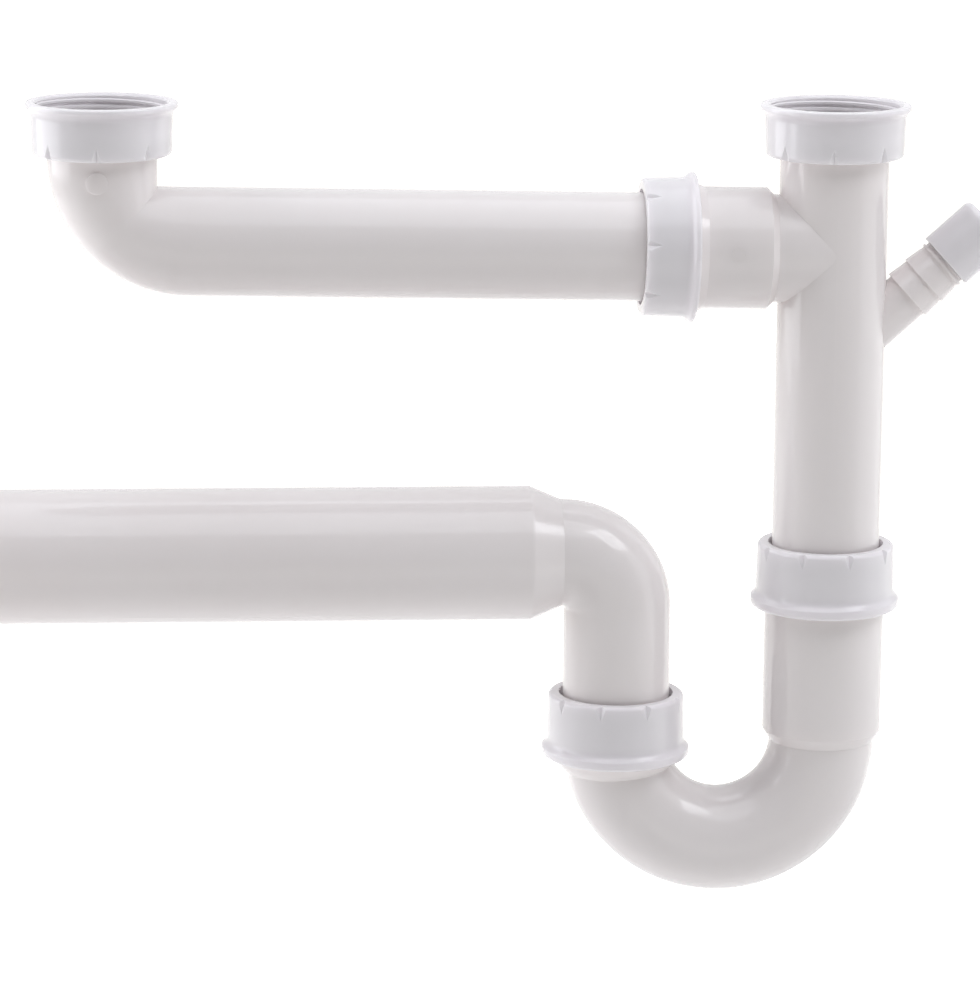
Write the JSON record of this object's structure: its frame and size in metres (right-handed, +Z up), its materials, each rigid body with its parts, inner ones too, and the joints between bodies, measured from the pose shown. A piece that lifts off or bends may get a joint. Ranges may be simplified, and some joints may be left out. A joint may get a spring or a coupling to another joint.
{
  "type": "tubular trap",
  "caption": "Tubular sink trap in white plastic: flanged inlets with union nuts, side arm, tee with capped hose nozzle, U bend and larger horizontal outlet tube.",
  "frame": {"origin": "on the main inlet's axis, at the lower end of the thread in its union nut", "axes": "+Z up along the main inlet, X along the arm and the outlet, which leaves towards -X"},
  "size_m": [0.3995, 0.0554, 0.2996],
  "materials": {
    "tube_white": "glossy moulded polypropylene, slightly warm white",
    "nut_white": "glossy moulded polypropylene, slightly cool white",
    "gasket_rubber": "matt pale grey rubber",
    "seal_rubber": "matt black rubber",
    "slip_plastic": "natural translucent polyethylene"
  },
  "bodies": {
    "tee": {"tee_body": "tube_white", "main_gasket": "gasket_rubber"},
    "main_nut": {"main_union_nut": "nut_white"},
    "arm_seal": {"arm_wedge_seal": "seal_rubber"},
    "inlet": {"inlet_bend": "tube_white", "side_gasket": "gasket_rubber"},
    "side_nut": {"side_union_nut": "nut_white"},
    "arm_slip": {"arm_slip_ring": "slip_plastic"},
    "arm_ring_nut": {"arm_nut": "nut_white"},
    "trap_seal": {"trap_wedge_seal": "seal_rubber"},
    "bend": {"u_bend": "tube_white", "outlet_wedge_seal": "seal_rubber"},
    "trap_slip": {"trap_slip_ring": "slip_plastic"},
    "trap_ring_nut": {"trap_nut": "nut_white"},
    "outlet": {"outlet_bend": "tube_white"},
    "outlet_slip": {"outlet_slip_ring": "slip_plastic"},
    "outlet_ring_nut": {"outlet_nut": "nut_white"},
    "cap": {"nozzle_cap": "nut_white"}
  },
  "joints": [
    {"name": "main_nut_spin", "type": "hinge", "parent": "tee", "child": "main_nut", "pos_m": [0, 0, 0], "axis": [0, 0, 1], "continuous": true},
    {"name": "arm_swivel", "type": "hinge", "parent": "tee", "child": "arm_seal", "pos_m": [-0.06999, 0, -0.04166], "axis": [0.9999, 0, -0.0148], "continuous": true},
    {"name": "arm_telescope", "type": "slide", "parent": "arm_seal", "child": "inlet", "axis": [-0.9999, 0, 0.0148], "range_m": [-0.0085, 0.02]},
    {"name": "side_nut_spin", "type": "hinge", "parent": "inlet", "child": "side_nut", "pos_m": [-0.2681, 0, 0.0012], "axis": [0, 0, 1], "continuous": true},
    {"name": "arm_nut_travel", "type": "slide", "parent": "tee", "child": "arm_slip", "axis": [-0.9999, 0, 0.0148], "range_m": [0, 0.01155]},
    {"name": "arm_nut_turn", "type": "hinge", "parent": "arm_slip", "child": "arm_ring_nut", "pos_m": [-0.06999, 0, -0.04166], "axis": [-0.9999, 0, 0.0148], "range_deg": [0, 1800]},
    {"name": "trap_height", "type": "slide", "parent": "tee", "child": "trap_seal", "axis": [0, 0, 1], "range_m": [-0.03, 0.018]},
    {"name": "trap_swivel", "type": "hinge", "parent": "trap_seal", "child": "bend", "pos_m": [0, 0, -0.2286], "axis": [0, 0, 1], "continuous": true},
    {"name": "trap_nut_travel", "type": "slide", "parent": "bend", "child": "trap_slip", "axis": [0, 0, 1], "range_m": [0, 0.01386]},
    {"name": "trap_nut_turn", "type": "hinge", "parent": "trap_slip", "child": "trap_ring_nut", "pos_m": [0, 0, -0.16], "axis": [0, 0, 1], "range_deg": [0, 2160]},
    {"name": "outlet_swivel", "type": "hinge", "parent": "bend", "child": "outlet", "pos_m": [-0.078, 0, -0.1567], "axis": [0, 0, 1], "range_deg": [-125, 125]},
    {"name": "outlet_nut_travel", "type": "slide", "parent": "bend", "child": "outlet_slip", "axis": [0, 0, 1], "range_m": [0, 0.01386]},
    {"name": "outlet_nut_turn", "type": "hinge", "parent": "outlet_slip", "child": "outlet_ring_nut", "pos_m": [-0.078, 0, -0.22], "axis": [0, 0, 1], "range_deg": [0, 2160]},
    {"name": "cap_pull", "type": "slide", "parent": "tee", "child": "cap", "axis": [0.7431, 0, 0.6691], "range_m": [0, 0.03]}
  ],
  "couplings": [
    {"joint": "arm_nut_travel", "follows": "arm_nut_turn", "m_per_rad": 0.00036749},
    {"joint": "trap_nut_travel", "follows": "trap_nut_turn", "m_per_rad": 0.00036749},
    {"joint": "outlet_nut_travel", "follows": "outlet_nut_turn", "m_per_rad": 0.00036749}
  ]
}
